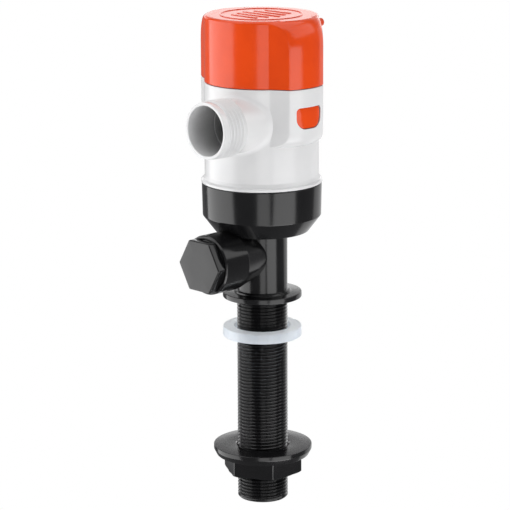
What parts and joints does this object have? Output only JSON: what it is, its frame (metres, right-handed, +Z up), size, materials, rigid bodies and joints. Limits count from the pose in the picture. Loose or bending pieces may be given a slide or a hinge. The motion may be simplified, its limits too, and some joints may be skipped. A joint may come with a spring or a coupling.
{
  "type": "livewell cartridge pump",
  "caption": "Marine livewell pump: a lift-out motor cartridge in a body with a threaded side outlet, on a plugged dual-port base with a flanged, threaded through-hull stem and nut.",
  "frame": {"origin": "on the stem's axis at the underside of the hull flange, the face that seats on the hull", "axes": "+Z up the pump's axis towards the cap; the outlet and the side port face -Y; the lobes with the release buttons face +X and -X"},
  "size_m": [0.071, 0.0942, 0.2595],
  "materials": {
    "black_plastic": "glossy moulded black",
    "white_plastic": "glossy moulded white",
    "orange_plastic": "glossy moulded orange",
    "orange_rubber": "satin",
    "clear_rubber": "translucent, satin",
    "seal_rubber": "satin",
    "dark_plastic": "satin",
    "steel": "satin",
    "core_steel": "dull",
    "magnet": "dull grey",
    "bronze": "dull",
    "copper": "enamelled",
    "carbon": "dull"
  },
  "bodies": {
    "housing": {"base_cup": "black_plastic", "base_neck": "black_plastic", "base_stem": "black_plastic", "pump_body": "white_plastic", "outlet_spout": "white_plastic", "body_seal": "seal_rubber"},
    "cartridge": {"cap": "orange_plastic", "cord_gland": "orange_rubber", "motor_housing": "dark_plastic", "cartridge_seal": "seal_rubber", "motor_can": "steel", "end_bell": "dark_plastic", "magnet_a": "magnet", "magnet_b": "magnet", "bearing_top": "bronze", "bearing_low": "bronze", "shaft_seal": "seal_rubber", "brush_a": "carbon", "brush_b": "carbon", "brush_springs": "bronze", "terminals": "bronze"},
    "rotor": {"shaft": "steel", "armature_core": "core_steel", "windings": "copper", "commutator": "copper", "impeller": "dark_plastic"},
    "button_right": {"release_button_right": "orange_plastic"},
    "button_left": {"release_button_left": "orange_plastic"},
    "plug_carrier": {"plug_gasket": "seal_rubber"},
    "plug": {"side_plug": "black_plastic"},
    "nut": {"flange_nut": "black_plastic"},
    "washer": {"seal_washer": "clear_rubber"}
  },
  "joints": [
    {"name": "cartridge_lift", "type": "slide", "parent": "housing", "child": "cartridge", "axis": [0, 0, 1], "range_m": [0, 0.065]},
    {"name": "rotor_spin", "type": "hinge", "parent": "cartridge", "child": "rotor", "pos_m": [0, 0, 0.09], "axis": [0, 0, 1], "continuous": true},
    {"name": "press_right", "type": "slide", "parent": "housing", "child": "button_right", "axis": [-1, 0, 0], "range_m": [0, 0.002], "stiffness_N_per_m": 1500},
    {"name": "press_left", "type": "slide", "parent": "housing", "child": "button_left", "axis": [1, 0, 0], "range_m": [0, 0.002], "stiffness_N_per_m": 1500},
    {"name": "plug_out", "type": "slide", "parent": "housing", "child": "plug_carrier", "axis": [0, -1, 0], "range_m": [0, 0.025]},
    {"name": "plug_turn", "type": "hinge", "parent": "plug_carrier", "child": "plug", "pos_m": [0, 0, 0.0233], "axis": [0, -1, 0], "range_deg": [0, 4970]},
    {"name": "nut_run", "type": "slide", "parent": "housing", "child": "nut", "axis": [0, 0, 1], "range_m": [-0.014, 0.048]},
    {"name": "washer_slide", "type": "slide", "parent": "housing", "child": "washer", "axis": [0, 0, 1], "range_m": [-0.01, 0.0155]}
  ],
  "couplings": [
    {"joint": "plug_turn", "follows": "plug_out", "rad_per_m": 3463.7}
  ]
}
